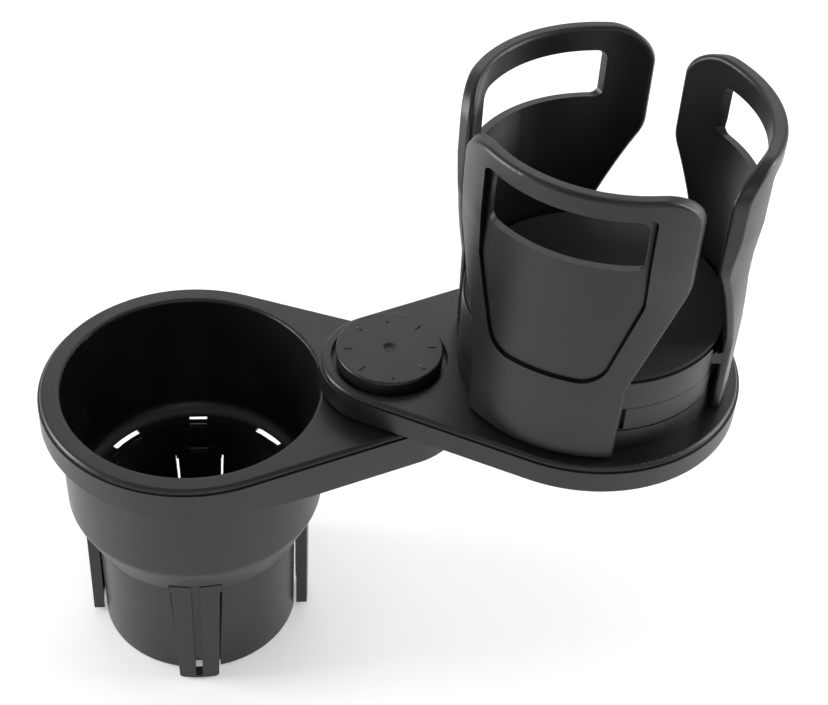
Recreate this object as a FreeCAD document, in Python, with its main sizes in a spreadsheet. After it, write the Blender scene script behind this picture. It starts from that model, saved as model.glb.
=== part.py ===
"""Two-place swivel cup holder that plugs into an existing cup well.

Millimetres. The origin is the centre of the spigot's bottom face, +Z is up and
+X runs from the cup well towards the pivot. The swing arm rests at arm_angle.
"""
import FreeCAD
import Part
import math
import os
import re
import Sketcher
from FreeCAD import Vector

# Sizes that follow another size are written as formulas of it.
SIZES = {
    # base moulding: deck, bowl and neck
    "spigot_radius": 35.0,
    "opening_radius": 42.5,
    "deck_radius": "=opening_radius + 7.3",
    "hub_radius": 25.8,
    "pivot_offset": "=opening_radius + 22.4",
    "deck_height": 106.2,
    "deck_thickness": 3.0,
    "crease_drop": 1.8,
    "crease_step": 0.7,
    "edge_round": 1.4,
    "skirt_near": 9.8,
    "skirt_far": 14.7,
    "skirt_wall": 2.4,
    "bowl_wall": 1.8,
    "bowl_taper": 0.8,
    "bowl_floor": "=deck_height - 50.2",
    "floor_thickness": 2.5,
    "floor_bore": "=spigot_radius - 1.4",
    "shoulder_round": 8.0,
    "neck_bottom": "=bowl_floor - 12.8",
    "neck_wall": 1.5,
    "neck_band": 2.4,
    "neck_step": 0.6,
    "cone_radius": "=opening_radius + 0.4",
    "cone_top": "=bowl_floor + 2.2",
    "lip_round": 1.2,
    "slot_reach": 3.6,
    "slot_half_angle": 9.0,
    "light_near": 20.0,
    "light_far": 31.5,
    "light_middle": 3.2,
    "light_height": 3.3,
    "light_roof": 0.8,
    "short_slot_reach": 2.0,
    "rib_place": 6.0,
    "rib_thickness": 1.6,
    "rib_height": 6.2,
    # spigot and its four spring fins
    "spigot_tip_radius": "=spigot_radius - 0.5",
    "spigot_wall": 2.2,
    "spigot_floor": 2.5,
    "spigot_fit": 0.1,
    "fin_radius": "=spigot_radius + 4.1",
    "fin_thickness": 3.7,
    "fin_skin": 2.0,
    "fin_flange": 1.5,
    "fin_bottom": 1.0,
    "fin_top": "=bowl_floor - 6.7",
    "fin_top_half": 8.3,
    "fin_foot_half": 6.8,
    "fin_pivot_radius": "=spigot_radius - 2.4",
    "fin_pivot_height": "=bowl_floor - 13",
    "trunnion_radius": 1.2,
    "trunnion_half": 6.5,
    "web_half": 3.0,
    "web_height": 2.2,
    "bearing_wall": 2.4,
    "lug_height": 2.0,
    "fin_groove": 1.5,
    "fin_slot_top": 10.5,
    "foot_notch": "=spigot_radius - 4.3",
    "fin_gap": 0.5,
    # clamp at the pivot
    "bolt_radius": 4.0,
    "bush_wall": 1.5,
    "running": 0.05,
    "hub_boss_radius": 11.0,
    "nut_flats": 13.0,
    "nut_height": 5.0,
    "nut_depth": 8.5,
    "nut_clearance": 0.2,
    "washer_radius": 16.0,
    "washer_thickness": 1.0,
    "cover_thickness": 1.8,
    "cover_fit": 0.3,
    # swing arm
    "knob_radius": 17.7,
    "pedestal_radius": 42.4,
    "recess_radius": "=knob_radius + 1.6",
    "arm_length": "=pedestal_radius + recess_radius + 3",
    "arm_angle": -2.5,
    "arm_radius": "=pedestal_radius + 8.6",
    "arm_hub_radius": "=knob_radius + 5.3",
    "arm_gap": 1.1,
    "arm_height": 9.5,
    "recess_depth": 2.4,
    # knob
    "knob_height": 6.2,
    "knob_float": 0.3,
    "insert_radius": 6.5,
    "insert_cover": 1.6,
    "rim_round": 0.7,
    "dimple_radius": 2.6,
    "dimple_floor": 1.2,
    "dimple_depth": 0.9,
    "tick_start": "=knob_radius - 5.2",
    "tick_end": "=knob_radius - 2.6",
    "tick_half": 0.4,
    "tick_height": 0.3,
    # pedestal
    "flange_height": 9.2,
    "band_height": 8.3,
    "cap_height": 10.4,
    "cap_wall": 2.4,
    "pedestal_hollow": 14.0,
    "line_width": 0.6,
    "line_depth": 0.7,
    "channel_end": 2.0,
    "relief_gap": 0.9,
    "post_half": 3.0,
    "pad_round": 0.6,
    "pad_thickness": 2.0,
    "pad_inset": 0.8,
    # claws
    "claw_phase": 2.0,
    "claw_inner": "=pedestal_radius + 0.7",
    "claw_wall": 3.4,
    "claw_lift": 1.1,
    "claw_height": 98.6,
    "claw_foot_half": 24.2,
    "claw_waist_half": 25.0,
    "claw_wide_half": 36.2,
    "claw_waist": 28.0,
    "claw_shoulder": 64.0,
    "waist_round": 24.0,
    "side_round": 20.0,
    "corner_round": 11.0,
    "rim_flare": 1.2,
    "rim_start": 60.0,
    "rim_rise": 16.0,
    "window_half": 23.9,
    "window_bottom": 73.4,
    "window_top": 90.4,
    "window_low_round": 2.4,
    "window_high_round": 3.0,
    "shield_side": 26.3,
    "shield_waist": 60.5,
    "shield_foot_half": 17.8,
    "shield_foot": 29.8,
    "shield_foot_round": 9.0,
    "shield_waist_round": 7.0,
    "shield_head_round": 2.6,
    "panel_wall": 2.4,
    "shield_line": 1.1,
    "shield_depth": 0.6,
    "tongue_half": 19.5,
    "tongue_height": 6.2,
    "tongue_reach": 16.0,
    "tongue_clearance": 0.3,
    "claw_travel": 8.0,
    "stop_radius": 2.4,
    "stop_place": 30.0,
    "stop_clearance": 0.4,
    "rack_width": 5.0,
    "rack_outer": 25.0,
    "rack_height": 4.0,
    "rack_drop": 3.4,
    "rack_reach": 18.0,
    "rack_pitch": 2.0,
    "rack_tooth": 0.7,
    "rack_clearance": 1.6,
    # self-tapping screws
    "screw_radius": 1.15,
    "pilot_radius": 1.2,
    "screw_head": 2.7,
    "screw_head_height": 1.0,
    "screw_length": 7.5,
    "screw_boss": 3.4,
}

FIN_NAMES = ("fin_right", "fin_back", "fin_left", "fin_front")
CLAW_NAMES = ("claw_right", "claw_back", "claw_front")
RACK_TEETH = 9
KNOB_TICKS = 8
LUG_ANGLE = 7
FIN_SWEEP = 40
CLAW_SWEEP = 130
RIM_ROUND = 1.4
SCREW_TURN = 120
PAST = "60"
NODES = (
    "cup_shell", "spigot", "hub_cover", "base_bush", "friction_washer", "hub_screws",
    "clamp_bolt", "knob", "knob_insert",
    "arm_shell", "arm_cover", "arm_bush", "arm_screws",
    "pedestal_base", "pedestal_cap", "foam_pad", "pedestal_screws", "cap_screws",
) + FIN_NAMES + CLAW_NAMES

doc = FreeCAD.newDocument("SwivelCupHolder")


def fill_sheet():
    """Put every driving size in the sheet, one alias to a row."""
    sheet = doc.addObject("Spreadsheet::Sheet", "Sizes")
    for row, (alias, size) in enumerate(SIZES.items(), start=1):
        sheet.set("A%d" % row, alias)
        sheet.set("B%d" % row, str(size))
        sheet.setAlias("B%d" % row, alias)
    doc.recompute()


def bound(text):
    """Turn plain size names into references to the sheet."""
    def refer(word):
        return ("Sizes." if word.group() in SIZES else "") + word.group()

    return re.sub(r"[a-z_]+", refer, text)


def bind(thing, prop, text):
    """Bind one property of an object to a formula of named sizes."""
    thing.setExpression(prop, bound(text))


def measure(text):
    """Number that a formula of named sizes gives now."""
    probe = doc.getObject("Probe")
    if probe is None:
        probe = doc.addObject("App::FeaturePython", "Probe")
        probe.addProperty("App::PropertyFloat", "Reading")
    bind(probe, "Reading", text)
    probe.recompute()
    return probe.Reading


def new_body(label):
    """Empty body that is named after its piece."""
    body = doc.addObject("PartDesign::Body", label)
    body.Label = label
    return body


def sketch_on(body, name, role, lift="0"):
    """Sketch on one of the body's own origin planes, lifted along its normal."""
    sketch = body.newObject("Sketcher::SketchObject", body.Name + "_" + name)
    plane = [item for item in body.Origin.OriginFeatures if item.Role == role][0]
    sketch.AttachmentSupport = (plane, [""])
    sketch.MapMode = "FlatFace"
    bind(sketch, "AttachmentOffset.Base.z", lift)
    return sketch


def hold_point(sketch, edge, point, across, up):
    """Hold one sketch point at two bound distances from the sketch's origin."""
    for kind, axis, text in (("DistanceX", -2, across), ("DistanceY", -1, up)):
        if text == "0":
            sketch.addConstraint(Sketcher.Constraint("PointOnObject", edge, point, axis))
        else:
            number = sketch.addConstraint(Sketcher.Constraint(kind, -1, 1, edge, point, 1.0))
            bind(sketch, "Constraints[%d]" % number, text)


def polygon(sketch, corners):
    """Closed outline of straight edges through corners given as formulas."""
    first = sketch.GeometryCount
    count = len(corners)
    turn = 2 * math.pi / count
    spots = [Vector(50 * math.cos(turn * step), 50 * math.sin(turn * step), 0) for step in range(count)]
    for step in range(count):
        sketch.addGeometry(Part.LineSegment(spots[step], spots[(step + 1) % count]), False)
    for step in range(count):
        following = first + (step + 1) % count
        sketch.addConstraint(Sketcher.Constraint("Coincident", first + step, 2, following, 1))
    for step, (across, up) in enumerate(corners):
        hold_point(sketch, first + step, 1, across, up)


def symmetric(half):
    """Full outline from its right half, listed upwards."""
    mirrored = [("-(%s)" % across, height) for across, height in reversed(half)]
    return list(half) + mirrored


def circle(sketch, radius, across="0", up="0"):
    """Circle of a bound radius about a bound centre."""
    edge = sketch.addGeometry(Part.Circle(Vector(5, 5, 0), Vector(0, 0, 1), 10), False)
    hold_point(sketch, edge, 3, across, up)
    number = sketch.addConstraint(Sketcher.Constraint("Radius", edge, 10.0))
    bind(sketch, "Constraints[%d]" % number, radius)


def teardrop(sketch, near_radius, far_radius, reach, sizes):
    """Two round ends joined by their common tangents; sizes are the three starting numbers."""
    near, far, gap = sizes
    lean = math.acos((near - far) / gap)
    spots = []
    for side in (1, -1):
        way = Vector(math.cos(lean), side * math.sin(lean), 0)
        spots.append((way * near, way * far + Vector(gap, 0, 0)))
    ends = Part.ArcOfCircle(Part.Circle(Vector(0, 0, 0), Vector(0, 0, 1), near), lean, 2 * math.pi - lean)
    tip = Part.ArcOfCircle(Part.Circle(Vector(gap, 0, 0), Vector(0, 0, 1), far), -lean, lean)
    near_arc = sketch.addGeometry(ends, False)
    lower = sketch.addGeometry(Part.LineSegment(*spots[1]), False)
    far_arc = sketch.addGeometry(tip, False)
    upper = sketch.addGeometry(Part.LineSegment(spots[0][1], spots[0][0]), False)
    hold_point(sketch, near_arc, 3, "0", "0")
    hold_point(sketch, far_arc, 3, reach, "0")
    edges = (near_arc, lower, far_arc, upper)
    joins = [(edge, 2, following, 1) for edge, following in zip(edges, edges[1:] + edges[:1])]
    for join in joins:
        sketch.addConstraint(Sketcher.Constraint("Tangent", *join))
    for arc, radius, start in ((near_arc, near_radius, near), (far_arc, far_radius, far)):
        number = sketch.addConstraint(Sketcher.Constraint("Radius", arc, start))
        bind(sketch, "Constraints[%d]" % number, radius)


def pad(body, name, sketch, length, both_ways=False, downward=False):
    """Raise a sketch by a bound length."""
    feature = body.newObject("PartDesign::Pad", body.Name + "_" + name)
    feature.Profile = sketch
    feature.Midplane = both_ways
    feature.Reversed = downward
    bind(feature, "Length", length)
    return feature


def pocket(body, name, sketch, depth="", both_ways=False, upward=False):
    """Cut to a depth, or right through when no depth is given."""
    feature = body.newObject("PartDesign::Pocket", body.Name + "_" + name)
    feature.Profile = sketch
    feature.Midplane = both_ways
    feature.Reversed = upward
    if depth:
        bind(feature, "Length", depth)
    else:
        feature.Type = "ThroughAll"
    return feature


def turn_section(body, name, corners, cut=False):
    """Revolve a closed section, drawn as (radius, height) corners, about the Z axis."""
    sketch = sketch_on(body, name + "_section", "XZ_Plane")
    polygon(sketch, corners)
    kind = "PartDesign::Groove" if cut else "PartDesign::Revolution"
    feature = body.newObject(kind, body.Name + "_" + name)
    feature.Profile = sketch
    feature.ReferenceAxis = (sketch, ["V_Axis"])
    feature.Angle = 360
    return feature


def ring(body, name, outer, inner, low, high, cut=False):
    """Turned ring between two radii and two heights."""
    corners = [(inner, low), (outer, low), (outer, high), (inner, high)]
    return turn_section(body, name, corners, cut)


def repeat_round(body, name, features, count):
    """Repeat features evenly about the Z axis."""
    pattern = body.newObject("PartDesign::PolarPattern", body.Name + "_" + name)
    pattern.Originals = features
    axis = [item for item in body.Origin.OriginFeatures if item.Role == "Z_Axis"][0]
    pattern.Axis = (axis, [""])
    pattern.Angle = 360
    pattern.Occurrences = count
    body.Tip = pattern
    return pattern


def round_edges(body, name, test, radius, kind="PartDesign::Fillet"):
    """Round or bevel the edges of the body's last feature that pass a test."""
    doc.recompute()
    base = body.Tip
    names = ["Edge%d" % number for number, edge in enumerate(base.Shape.Edges, start=1) if test(edge)]
    if not names:
        raise ValueError("no edge to round for " + body.Name + "_" + name)
    feature = body.newObject(kind, body.Name + "_" + name)
    feature.Base = (base, names)
    bind(feature, "Size" if kind.endswith("Chamfer") else "Radius", radius)
    return feature


def is_circle(edge, radius, height, slack=0.02):
    """True for a horizontal circle or arc about the Z axis of its own piece."""
    curve = edge.Curve
    if not isinstance(curve, Part.Circle):
        return False
    return abs(curve.Radius - radius) < slack and abs(curve.Center.z - height) < slack


def lies_flat_at(edge, height):
    """True for an edge that lies in one horizontal plane at a height."""
    box = edge.BoundBox
    return box.ZLength < 0.01 and abs(box.ZMin - height) < 0.01


def place_on_arm(thing):
    """Swing a piece that was drawn about the pivot to the arm's place and angle."""
    bind(thing, "Placement.Base.x", "pivot_offset")
    bind(thing, "Placement.Rotation.Angle", "arm_angle")


def place_on_pedestal(thing, turn="0"):
    """Place a piece that was drawn about the pedestal's centre."""
    bind(thing, "Placement.Base.x", "pivot_offset + arm_length * cos(arm_angle)")
    bind(thing, "Placement.Base.y", "arm_length * sin(arm_angle)")
    bind(thing, "Placement.Rotation.Angle", "arm_angle + claw_phase + " + turn)


# Heights that several pieces share, as formulas of the named sizes.
DECK_UNDER = "deck_height - deck_thickness"
CREASE = "deck_height - crease_drop"
SKIRT_LOW = "deck_height - skirt_far"
FLOOR_UNDER = "bowl_floor - floor_thickness"
NECK_OUTER = "spigot_radius + spigot_fit + neck_wall"
SLOT_INNER = "spigot_radius + spigot_fit - 0.2"
SLOT_OUTER = "spigot_radius + spigot_fit + slot_reach"
BUSH_OUTER = "bolt_radius + running + bush_wall"
NUT_SEAT = "deck_height - skirt_far + cover_thickness + nut_depth"
ARM_LOW = "deck_height + arm_gap"
ARM_TOP = "deck_height + arm_gap + arm_height"
ARM_CREASE = "deck_height + arm_gap + arm_height - crease_drop"
ARM_UNDER = "deck_height + arm_gap + arm_height - deck_thickness"
RECESS_FLOOR = "deck_height + arm_gap + arm_height - recess_depth"
FLANGE_TOP = ARM_TOP + " + flange_height"
BAND_TOP = FLANGE_TOP + " + band_height"
CAP_TOP = BAND_TOP + " + cap_height"
CLAW_LOW = ARM_TOP + " + claw_lift"
CLAW_TOP = CLAW_LOW + " + claw_height"
KNOB_TOP = RECESS_FLOOR + " + knob_float + knob_height"
RACK_LOW = CAP_TOP + " - rack_drop - rack_height"
POST_CIRCLE = "(pedestal_radius - 8)"


def make_cup_shell():
    """Deck, skirt, bowl, neck and pivot boss in one moulding."""
    body = new_body("cup_shell")
    starts = (50.0, 25.0, 65.0)
    skirt = sketch_on(body, "skirt", "XY_Plane", SKIRT_LOW)
    teardrop(skirt, "deck_radius", "hub_radius", "pivot_offset", starts)
    pad(body, "skirt_pad", skirt, "skirt_far - crease_drop")
    slab = sketch_on(body, "slab", "XY_Plane", CREASE)
    teardrop(slab, "deck_radius - crease_step", "hub_radius - crease_step", "pivot_offset", starts)
    pad(body, "slab_pad", slab, "crease_drop")
    hollow = sketch_on(body, "hollow", "XY_Plane", SKIRT_LOW)
    teardrop(hollow, "deck_radius - skirt_wall", "hub_radius - skirt_wall", "pivot_offset", starts)
    pocket(body, "hollow_cut", hollow, "skirt_far - deck_thickness", upward=True)
    slope = sketch_on(body, "slope", "XZ_Plane")
    polygon(slope, [
        ("-deck_radius - 1", "deck_height - skirt_near"),
        ("-deck_radius - 1", SKIRT_LOW + " - 1"),
        ("pivot_offset + hub_radius + 1", SKIRT_LOW + " - 1"),
        ("pivot_offset + hub_radius + 1", SKIRT_LOW),
        ("pivot_offset - hub_radius", SKIRT_LOW),
    ])
    pocket(body, "slope_cut", slope, both_ways=True)
    round_edges(body, "deck_edge", lambda edge: lies_flat_at(edge, SIZES["deck_height"]), "edge_round")
    turn_section(body, "bowl", [
        ("floor_bore", "bowl_floor"),
        ("floor_bore", FLOOR_UNDER),
        (NECK_OUTER, FLOOR_UNDER),
        ("opening_radius + bowl_wall - bowl_taper", FLOOR_UNDER),
        ("opening_radius + bowl_wall", DECK_UNDER + " + 1"),
        ("opening_radius - 1", DECK_UNDER + " + 1"),
    ])
    turn_section(body, "cavity", [
        ("0", "bowl_floor"),
        ("opening_radius - bowl_taper", "bowl_floor"),
        ("opening_radius", "deck_height"),
        ("opening_radius", "deck_height + 1"),
        ("0", "deck_height + 1"),
    ], cut=True)
    shoulder_radius = measure("opening_radius + bowl_wall - bowl_taper")
    shoulder_height = measure(FLOOR_UNDER)
    corner_radius = measure("opening_radius - bowl_taper")
    floor = measure("bowl_floor")
    round_edges(body, "corner", lambda edge: is_circle(edge, corner_radius, floor),
                "shoulder_round - bowl_wall")
    round_edges(body, "shoulder", lambda edge: is_circle(edge, shoulder_radius, shoulder_height),
                "shoulder_round")
    turn_section(body, "neck", [
        ("spigot_radius + spigot_fit", "neck_bottom"),
        (NECK_OUTER, "neck_bottom"),
        (NECK_OUTER, "neck_bottom + neck_band"),
        (NECK_OUTER + " + neck_step", "neck_bottom + neck_band"),
        ("cone_radius", "cone_top"),
        ("cone_radius - neck_wall", "cone_top"),
        (NECK_OUTER, FLOOR_UNDER + " + 0.3"),
        ("spigot_radius + spigot_fit", FLOOR_UNDER + " + 0.3"),
    ])
    round_edges(body, "lip", lambda edge: is_circle(edge, SIZES["opening_radius"], SIZES["deck_height"]),
                "lip_round")
    cut_floor_slots(body)
    cut_light_slots(body)
    cut_fin_notches(body)
    add_pivot_boss(body)
    add_deck_ribs(body)


def cut_floor_slots(body):
    """Four curved slots in the bowl floor, above the snap lugs of the spigot."""
    sketch = sketch_on(body, "slot", "XY_Plane", "bowl_floor + 0.1")
    inner_circle = Part.Circle(Vector(0, 0, 0), Vector(0, 0, 1), 36)
    outer_circle = Part.Circle(Vector(0, 0, 0), Vector(0, 0, 1), 38.4)
    sketch.addGeometry(Part.ArcOfCircle(inner_circle, 0.6, 0.95), False)
    sketch.addGeometry(Part.LineSegment(Vector(21, 29, 0), Vector(23, 31, 0)), False)
    sketch.addGeometry(Part.ArcOfCircle(outer_circle, 0.6, 0.95), False)
    sketch.addGeometry(Part.LineSegment(Vector(32, 21, 0), Vector(30, 20, 0)), False)
    for join in ((0, 2, 1, 1), (1, 2, 2, 2), (2, 1, 3, 1), (3, 2, 0, 1), (0, 3, -1, 1), (2, 3, -1, 1)):
        sketch.addConstraint(Sketcher.Constraint("Coincident", *join))
    for arc, radius in ((0, SLOT_INNER), (2, SLOT_OUTER)):
        number = sketch.addConstraint(Sketcher.Constraint("Radius", arc, 37.0))
        bind(sketch, "Constraints[%d]" % number, radius)
    for edge in (0, 2):
        for end, side in ((1, "-"), (2, "+")):
            height = "%s * sin(45 %s slot_half_angle)"
            radius = "(%s)" % (SLOT_INNER if edge == 0 else SLOT_OUTER)
            number = sketch.addConstraint(Sketcher.Constraint("DistanceY", -1, 1, edge, end, 25.0))
            bind(sketch, "Constraints[%d]" % number, height % (radius, side))
    slot = pocket(body, "slot_cut", sketch, "floor_thickness + 3.2")
    repeat_round(body, "slot_ring", [slot], 4)


def cut_light_slots(body):
    """Three openings in the back of the cone, and a short floor slot above the middle one."""
    sketch = sketch_on(body, "light", "XZ_Plane", "-(spigot_radius / 2)")
    low = FLOOR_UNDER + " - 0.1 - light_height"
    high = "bowl_floor - light_roof"
    spans = (("light_near", "light_far"), ("-light_far", "-light_near"), ("-light_middle", "light_middle"))
    for near, far in spans:
        polygon(sketch, [(near, low), (far, low), (far, high), (near, high)])
    pocket(body, "light_cut", sketch, "spigot_radius")
    short = sketch_on(body, "short_slot", "XY_Plane", "bowl_floor + 0.1")
    polygon(short, [
        ("-light_middle", SLOT_INNER), ("light_middle", SLOT_INNER),
        ("light_middle", SLOT_INNER + " + short_slot_reach"),
        ("-light_middle", SLOT_INNER + " + short_slot_reach"),
    ])
    pocket(body, "short_cut", short, "floor_thickness + 0.2")


def cut_fin_notches(body):
    """Four notches in the neck, one round the upper end of each fin."""
    sketch = sketch_on(body, "notch", "YZ_Plane", "spigot_radius - 1")
    half = "fin_top_half + fin_gap"
    polygon(sketch, [
        ("-(%s)" % half, "neck_bottom - 1"), (half, "neck_bottom - 1"),
        (half, "fin_top + fin_gap"), ("-(%s)" % half, "fin_top + fin_gap"),
    ])
    notch = pocket(body, "notch_cut", sketch, "fin_thickness + 6", upward=True)
    repeat_round(body, "notch_ring", [notch], 4)


def screw_holes(body, name, spots, low, thickness, from_top=False):
    """Clearance holes through a plate, each counterbored for a screw head."""
    lift = low + " - 1" if not from_top else low + " + " + thickness + " + 1"
    through = sketch_on(body, name, "XY_Plane", lift)
    seats = sketch_on(body, name + "_seats", "XY_Plane", lift)
    for across, up in spots:
        circle(through, "screw_radius + 0.2", across, up)
        circle(seats, "screw_head + 0.2", across, up)
    pocket(body, name + "_cut", through, thickness + " + 2", upward=not from_top)
    pocket(body, name + "_seat_cut", seats, "screw_head_height + 1", upward=not from_top)


def add_pivot_boss(body):
    """Boss under the deck with the bush seat and the hexagonal pocket of the bolt head."""
    boss = sketch_on(body, "boss", "XY_Plane", SKIRT_LOW + " + cover_thickness + 0.1")
    circle(boss, "hub_boss_radius", "pivot_offset")
    pad(body, "boss_pad", boss, "skirt_far - cover_thickness - deck_thickness + 0.4")
    bore = sketch_on(body, "bore", "XY_Plane", "deck_height + 1")
    circle(bore, BUSH_OUTER, "pivot_offset")
    pocket(body, "bore_cut", bore)
    hexagon = sketch_on(body, "hexagon", "XY_Plane", SKIRT_LOW)
    hex_outline(hexagon, "nut_flats / 2 + nut_clearance", "pivot_offset")
    pocket(body, "hexagon_cut", hexagon, "cover_thickness + nut_depth", upward=True)
    posts = sketch_on(body, "posts", "XY_Plane", SKIRT_LOW + " + cover_thickness + 0.1")
    holes = sketch_on(body, "holes", "XY_Plane", SKIRT_LOW + " + cover_thickness + 0.1")
    for across, up in hub_screw_spots():
        circle(posts, "screw_boss", across, up)
        circle(holes, "pilot_radius", across, up)
    pad(body, "posts_pad", posts, "skirt_far - cover_thickness - deck_thickness + 0.4")
    pocket(body, "holes_cut", holes, "screw_length + 0.5", upward=True)


def hex_outline(sketch, apothem, across):
    """Hexagon with two flats facing +X and -X, about a point on the X axis."""
    corners = []
    for step in range(6):
        angle = 30 + 60 * step
        corners.append((
            "%s + (%s) / cos(30) * cos(%d)" % (across, apothem, angle),
            "(%s) / cos(30) * sin(%d)" % (apothem, angle),
        ))
    polygon(sketch, corners)


def add_deck_ribs(body):
    """Two ribs that carry the load from the bowl to the pivot boss."""
    for side in ("", "-"):
        name = "rib_low" if side else "rib_high"
        sketch = sketch_on(body, name, "XY_Plane", DECK_UNDER + " + 0.2")
        near = "opening_radius + bowl_wall * 0.4"
        far = "pivot_offset - hub_boss_radius + 2"
        low = side + "rib_place"
        high = side + "(rib_place + rib_thickness)"
        polygon(sketch, [(near, low), (far, low), (far, high), (near, high)])
        pad(body, name + "_pad", sketch, "rib_height", downward=True)


def make_spigot():
    """Closed plug tube with four fin windows and bearing blocks for the fins."""
    body = new_body("spigot")
    top = FLOOR_UNDER + " - 0.1"
    turn_section(body, "tube", [
        ("0", "0"),
        ("spigot_tip_radius", "0"),
        ("spigot_radius", "neck_bottom"),
        ("spigot_radius", top),
        ("spigot_radius - spigot_wall", top),
        ("spigot_radius - spigot_wall", "neck_bottom"),
        ("spigot_tip_radius - spigot_wall", "spigot_floor"),
        ("0", "spigot_floor"),
    ])
    tip = measure("spigot_tip_radius")
    round_edges(body, "foot", lambda edge: is_circle(edge, tip, 0), "edge_round")
    block = sketch_on(body, "block", "XY_Plane", "fin_pivot_height - bearing_wall")
    inner = "fin_pivot_radius - bearing_wall"
    polygon(block, [
        (inner, "-fin_top_half"), ("spigot_tip_radius - 1", "-fin_top_half"),
        ("spigot_tip_radius - 1", "fin_top_half"), (inner, "fin_top_half"),
    ])
    block_pad = pad(body, "block_pad", block, "2 * bearing_wall - 0.2")
    window = sketch_on(body, "window", "YZ_Plane", "fin_pivot_radius - 8")
    ledge = "fin_pivot_height - bearing_wall"
    roof = "fin_pivot_height + bearing_wall"
    polygon(window, symmetric([
        ("fin_foot_half + fin_gap", "spigot_floor + 1"), ("fin_top_half + fin_gap", ledge),
        ("web_half + fin_gap", ledge), ("web_half + fin_gap", roof),
    ]))
    window_cut = pocket(body, "window_cut", window, "12", upward=True)
    foot = sketch_on(body, "foot_window", "YZ_Plane", "foot_notch")
    polygon(foot, symmetric([
        ("fin_foot_half + fin_gap", "-1"), ("fin_foot_half + fin_gap", "spigot_floor + 1.1"),
    ]))
    foot_cut = pocket(body, "foot_cut", foot, "6", upward=True)
    bearing = sketch_on(body, "bearing", "XZ_Plane")
    circle(bearing, "trunnion_radius + running", "fin_pivot_radius", "fin_pivot_height")
    bearing_cut = pocket(body, "bearing_cut", bearing, "2 * trunnion_half + 0.4", both_ways=True)
    repeat_round(body, "four_sides", [block_pad, window_cut, foot_cut, bearing_cut], 4)
    lug = sketch_on(body, "lug", "XZ_Plane")
    lug.AttachmentOffset = FreeCAD.Placement(Vector(0, 0, 0), FreeCAD.Rotation(Vector(0, 1, 0), 45))
    lug_top = FLOOR_UNDER + " - 0.6"
    polygon(lug, [
        ("spigot_radius - 0.5", lug_top + " - lug_height"),
        (NECK_OUTER + " - 0.1", lug_top),
        ("spigot_radius - 0.5", lug_top),
    ])
    lug_turn = body.newObject("PartDesign::Revolution", body.Name + "_lug_turn")
    lug_turn.Profile = lug
    lug_turn.ReferenceAxis = (lug, ["V_Axis"])
    lug_turn.Midplane = True
    lug_turn.Angle = LUG_ANGLE
    repeat_round(body, "lug_ring", [lug_turn], 4)


def make_fin(label, number):
    """One spring fin: a curved channel that tapers downwards, with a centre groove and trunnions."""
    body = new_body(label)
    inner = "fin_radius - fin_thickness"
    sketch = sketch_on(body, "strip", "XZ_Plane")
    polygon(sketch, [
        (inner, "fin_bottom"), ("fin_radius", "fin_bottom"),
        ("fin_radius", "fin_top"), (inner, "fin_top"),
    ])
    strip = body.newObject("PartDesign::Revolution", body.Name + "_strip_turn")
    strip.Profile = sketch
    strip.ReferenceAxis = (sketch, ["V_Axis"])
    strip.Midplane = True
    strip.Angle = FIN_SWEEP
    side = sketch_on(body, "side", "YZ_Plane")
    polygon(side, symmetric([("60", "-5"), ("60", "fin_top + 5")]))
    polygon(side, symmetric([("fin_foot_half", "fin_bottom - 1"), ("fin_top_half", "fin_top + 1")]))
    pocket(body, "side_cut", side, both_ways=True)
    low = SIZES["fin_bottom"]
    round_edges(body, "foot", lambda edge: edge.BoundBox.XLength > 1.5 and edge.BoundBox.YLength < 1.5
                and lies_flat_at(edge, low), "edge_round")
    groove = sketch_on(body, "groove", "YZ_Plane", "fin_radius + 1")
    polygon(groove, symmetric([("fin_groove * 0.8", "fin_bottom + 1"), ("fin_groove", "fin_top + 1")]))
    pocket(body, "groove_cut", groove, "fin_skin / 2 + 1")
    hole = sketch_on(body, "hole", "YZ_Plane", "fin_radius + 1")
    half = "fin_groove * 0.75"
    polygon(hole, symmetric([(half, "fin_bottom + 1"), (half, "fin_slot_top")]))
    pocket(body, "hole_cut", hole, "fin_skin + 2")
    back = sketch_on(body, "back", "YZ_Plane", "fin_radius - fin_skin")
    polygon(back, symmetric([
        ("fin_foot_half - fin_flange", "fin_bottom + fin_flange"),
        ("fin_top_half - fin_flange", "fin_pivot_height - 2 * trunnion_radius"),
    ]))
    pocket(body, "back_cut", back, "fin_thickness + 4")
    web = sketch_on(body, "web", "XZ_Plane")
    web_low = "fin_pivot_height - web_height / 2"
    web_high = "fin_pivot_height + web_height / 2"
    polygon(web, [
        ("fin_pivot_radius - 0.4", web_low), (inner + " + 0.6", web_low),
        (inner + " + 0.6", web_high), ("fin_pivot_radius - 0.4", web_high),
    ])
    pad(body, "web_pad", web, "2 * web_half", both_ways=True)
    trunnion = sketch_on(body, "trunnion", "XZ_Plane")
    circle(trunnion, "trunnion_radius", "fin_pivot_radius", "fin_pivot_height")
    pad(body, "trunnion_pad", trunnion, "2 * trunnion_half", both_ways=True)
    body.Placement.Rotation = FreeCAD.Rotation(Vector(0, 0, 1), 90.0 * number)


def hub_screw_spots():
    """Places of the two screws that hold the hub cover."""
    reach = "(hub_boss_radius + screw_boss - 1)"
    return (("pivot_offset", reach), ("pivot_offset", "-" + reach))


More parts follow.
